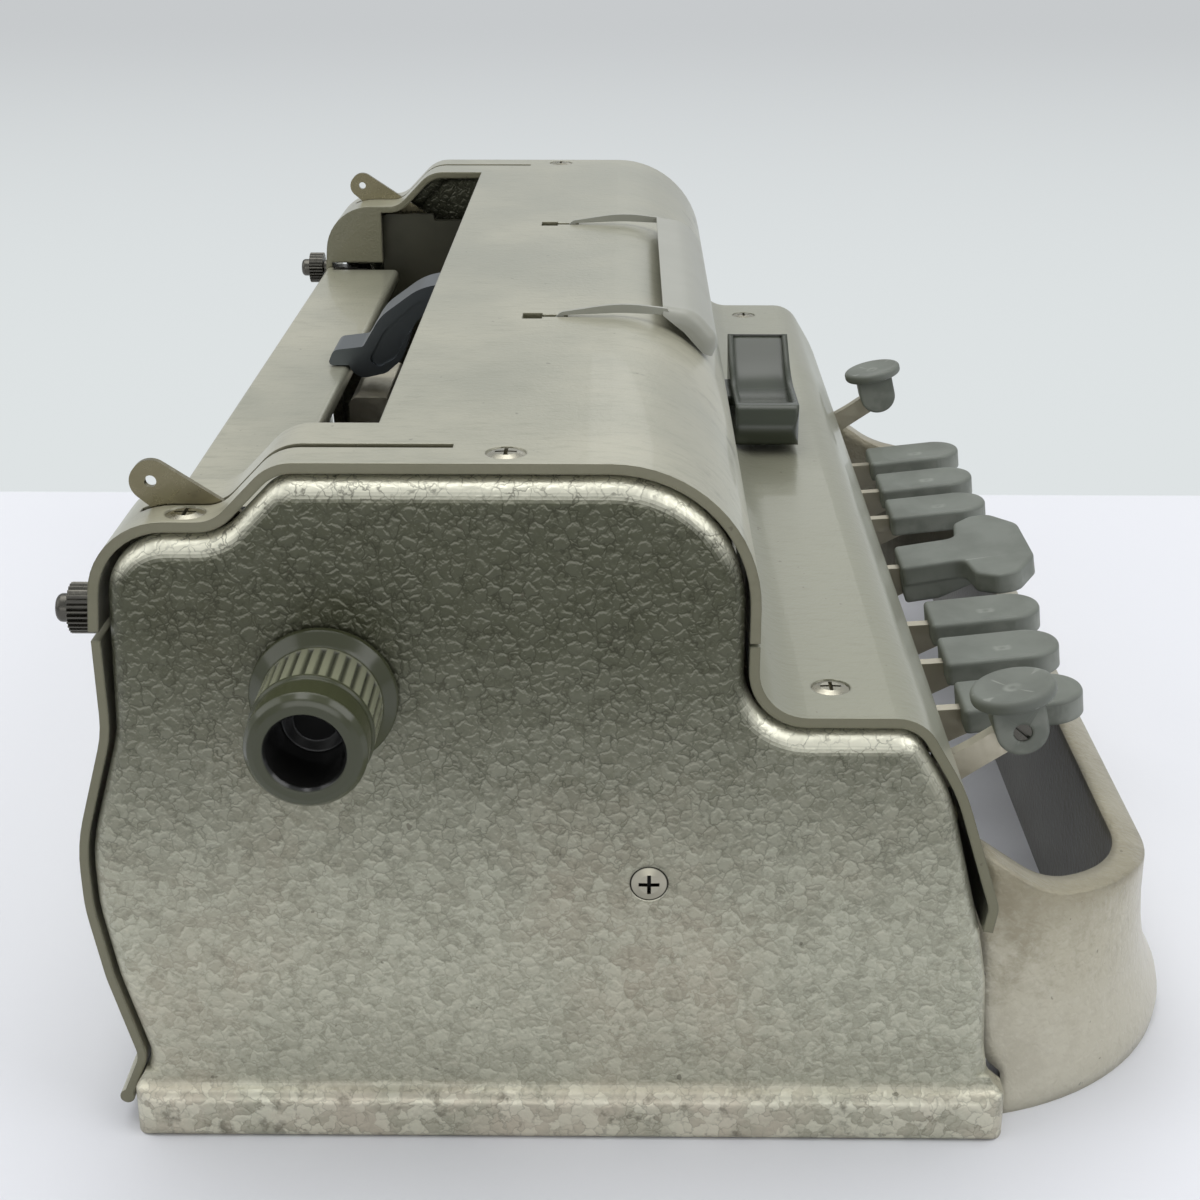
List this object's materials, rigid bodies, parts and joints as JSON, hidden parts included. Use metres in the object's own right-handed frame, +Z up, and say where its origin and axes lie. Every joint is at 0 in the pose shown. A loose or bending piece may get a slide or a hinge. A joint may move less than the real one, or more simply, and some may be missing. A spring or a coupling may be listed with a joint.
{
  "type": "manual braille writer",
  "caption": "manual braille writer with cast end plates, hammertone covers, round-tipped keys, wide finger bar, paper knobs and a carriage",
  "frame": {"origin": "on the table, under the middle of the whole machine from handle to margin nuts and from knob to knob", "axes": "X to the user's right along the machine, Y to the rear, Z up"},
  "size_m": [0.394, 0.2324, 0.1448],
  "materials": {
    "hammertone_enamel": "hammertone",
    "handle_enamel": "hammertone",
    "key_plastic": "matte",
    "knob_plastic": "gloss",
    "lever_plastic": "gloss",
    "bright_nickel": "polished",
    "steel": "brushed",
    "dark_steel": "matte",
    "black_rubber": "matte",
    "brass": "polished"
  },
  "bodies": {
    "chassis": {"base_plate": "dark_steel", "handle": "handle_enamel", "left_side_plate": "hammertone_enamel", "right_side_plate": "hammertone_enamel", "top_cover": "hammertone_enamel", "deck_cover": "hammertone_enamel", "rear_cover": "hammertone_enamel", "paper_table": "hammertone_enamel", "inner_frames": "dark_steel", "cover_screws": "bright_nickel", "side_screws": "bright_nickel", "rubber_feet": "black_rubber", "key_shaft": "steel", "key_comb": "dark_steel", "key_springs": "steel", "release_shaft": "steel", "carriage_rails": "steel", "spacing_rack": "steel", "mainspring_drum": "brass", "rest_hinge": "steel", "margin_bar": "steel", "bell_gong": "brass"},
    "drum": {"paper_drum": "black_rubber", "left_knob": "knob_plastic", "right_knob": "knob_plastic", "ratchet_wheel": "brass"},
    "pawl": {"line_pawl": "steel"},
    "pinch": {"pinch_roller": "steel"},
    "left_release": {"left_release_lever": "bright_nickel"},
    "right_release": {"right_release_lever": "bright_nickel"},
    "carriage": {"carriage_body": "dark_steel", "embossing_head": "steel", "embossing_jaw": "steel"},
    "carriage_finger": {"carriage_lever": "lever_plastic"},
    "rest": {"reading_rest": "hammertone_enamel"},
    "left_stop": {"left_margin_stop": "bright_nickel"},
    "right_stop": {"right_margin_stop": "bright_nickel"},
    "left_nut": {"left_margin_nut": "bright_nickel"},
    "right_nut": {"right_margin_nut": "bright_nickel"},
    "hammer": {"bell_hammer": "steel"},
    "space": {"space_key": "key_plastic", "space_lever": "steel"},
    "line": {"line_key": "key_plastic", "line_lever": "steel", "line_set_screw": "bright_nickel"},
    "back": {"back_key": "key_plastic", "back_lever": "steel", "back_set_screw": "bright_nickel"},
    "dot_1": {"dot_key_1": "key_plastic", "dot_lever_1": "steel"},
    "dot_2": {"dot_key_2": "key_plastic", "dot_lever_2": "steel"},
    "dot_3": {"dot_key_3": "key_plastic", "dot_lever_3": "steel"},
    "dot_4": {"dot_key_4": "key_plastic", "dot_lever_4": "steel"},
    "dot_5": {"dot_key_5": "key_plastic", "dot_lever_5": "steel"},
    "dot_6": {"dot_key_6": "key_plastic", "dot_lever_6": "steel"}
  },
  "joints": [
    {"name": "dot_1_press", "type": "hinge", "parent": "chassis", "child": "dot_1", "pos_m": [0, 0.0474, 0.05], "axis": [1, 0, 0], "range_deg": [0, 3.2], "stiffness_Nm_per_rad": 2, "springref_deg": -2.86},
    {"name": "dot_2_press", "type": "hinge", "parent": "chassis", "child": "dot_2", "pos_m": [0, 0.0474, 0.05], "axis": [1, 0, 0], "range_deg": [0, 3.2], "stiffness_Nm_per_rad": 2, "springref_deg": -2.86},
    {"name": "dot_3_press", "type": "hinge", "parent": "chassis", "child": "dot_3", "pos_m": [0, 0.0474, 0.05], "axis": [1, 0, 0], "range_deg": [0, 3.2], "stiffness_Nm_per_rad": 2, "springref_deg": -2.86},
    {"name": "dot_4_press", "type": "hinge", "parent": "chassis", "child": "dot_4", "pos_m": [0, 0.0474, 0.05], "axis": [1, 0, 0], "range_deg": [0, 3.2], "stiffness_Nm_per_rad": 2, "springref_deg": -2.86},
    {"name": "dot_5_press", "type": "hinge", "parent": "chassis", "child": "dot_5", "pos_m": [0, 0.0474, 0.05], "axis": [1, 0, 0], "range_deg": [0, 3.2], "stiffness_Nm_per_rad": 2, "springref_deg": -2.86},
    {"name": "dot_6_press", "type": "hinge", "parent": "chassis", "child": "dot_6", "pos_m": [0, 0.0474, 0.05], "axis": [1, 0, 0], "range_deg": [0, 3.2], "stiffness_Nm_per_rad": 2, "springref_deg": -2.86},
    {"name": "space_press", "type": "hinge", "parent": "chassis", "child": "space", "pos_m": [0, 0.0474, 0.05], "axis": [1, 0, 0], "range_deg": [0, 3.2], "stiffness_Nm_per_rad": 2, "springref_deg": -2.86},
    {"name": "line_press", "type": "hinge", "parent": "chassis", "child": "line", "pos_m": [0, 0.0474, 0.05], "axis": [1, 0, 0], "range_deg": [0, 3.2], "stiffness_Nm_per_rad": 2, "springref_deg": -2.86},
    {"name": "back_press", "type": "hinge", "parent": "chassis", "child": "back", "pos_m": [0, 0.0474, 0.05], "axis": [1, 0, 0], "range_deg": [0, 3.2], "stiffness_Nm_per_rad": 2, "springref_deg": -2.86},
    {"name": "paper_feed", "type": "hinge", "parent": "chassis", "child": "drum", "pos_m": [0, 0.0626, 0.0974], "axis": [1, 0, 0], "continuous": true},
    {"name": "pinch_turn", "type": "hinge", "parent": "chassis", "child": "pinch", "pos_m": [0, 0.0513, 0.0974], "axis": [1, 0, 0], "continuous": true},
    {"name": "pawl_lift", "type": "hinge", "parent": "chassis", "child": "pawl", "pos_m": [0.143, 0.0454, 0.115], "axis": [1, 0, 0], "range_deg": [0, 8], "stiffness_Nm_per_rad": 0.05, "springref_deg": -5.73},
    {"name": "left_release_swing", "type": "hinge", "parent": "chassis", "child": "left_release", "pos_m": [-0.1586, 0.0414, 0.093], "axis": [1, 0, 0], "range_deg": [0, 46]},
    {"name": "right_release_swing", "type": "hinge", "parent": "chassis", "child": "right_release", "pos_m": [0.1586, 0.0414, 0.093], "axis": [1, 0, 0], "range_deg": [0, 46]},
    {"name": "carriage_travel", "type": "slide", "parent": "chassis", "child": "carriage", "axis": [1, 0, 0], "range_m": [-0.152, 0.094]},
    {"name": "carriage_release", "type": "hinge", "parent": "carriage", "child": "carriage_finger", "pos_m": [0.028, -0.0096, 0.084], "axis": [1, 0, 0], "range_deg": [0, 2], "stiffness_Nm_per_rad": 0.5, "springref_deg": -3.44},
    {"name": "rest_swing", "type": "hinge", "parent": "chassis", "child": "rest", "pos_m": [0, 0.0269, 0.1376], "axis": [1, 0, 0], "range_deg": [-82, 0]},
    {"name": "left_margin_slide", "type": "slide", "parent": "chassis", "child": "left_stop", "axis": [1, 0, 0], "range_m": [-0.003, 0.118]},
    {"name": "left_margin_clamp", "type": "hinge", "parent": "left_stop", "child": "left_nut", "pos_m": [-0.155, 0.11105, 0.10795], "axis": [0, 1, 0], "range_deg": [-180, 180]},
    {"name": "right_margin_slide", "type": "slide", "parent": "chassis", "child": "right_stop", "axis": [1, 0, 0], "range_m": [-0.118, 0.003]},
    {"name": "right_margin_clamp", "type": "hinge", "parent": "right_stop", "child": "right_nut", "pos_m": [0.155, 0.11105, 0.10795], "axis": [0, 1, 0], "range_deg": [-180, 180]},
    {"name": "bell_strike", "type": "hinge", "parent": "chassis", "child": "hammer", "pos_m": [-0.0725, 0.0604, 0.039], "axis": [1, 0, 0], "range_deg": [-8, 6], "stiffness_Nm_per_rad": 0.01}
  ],
  "couplings": [
    {"joint": "pinch_turn", "follows": "paper_feed", "ratio": -2.6667}
  ]
}
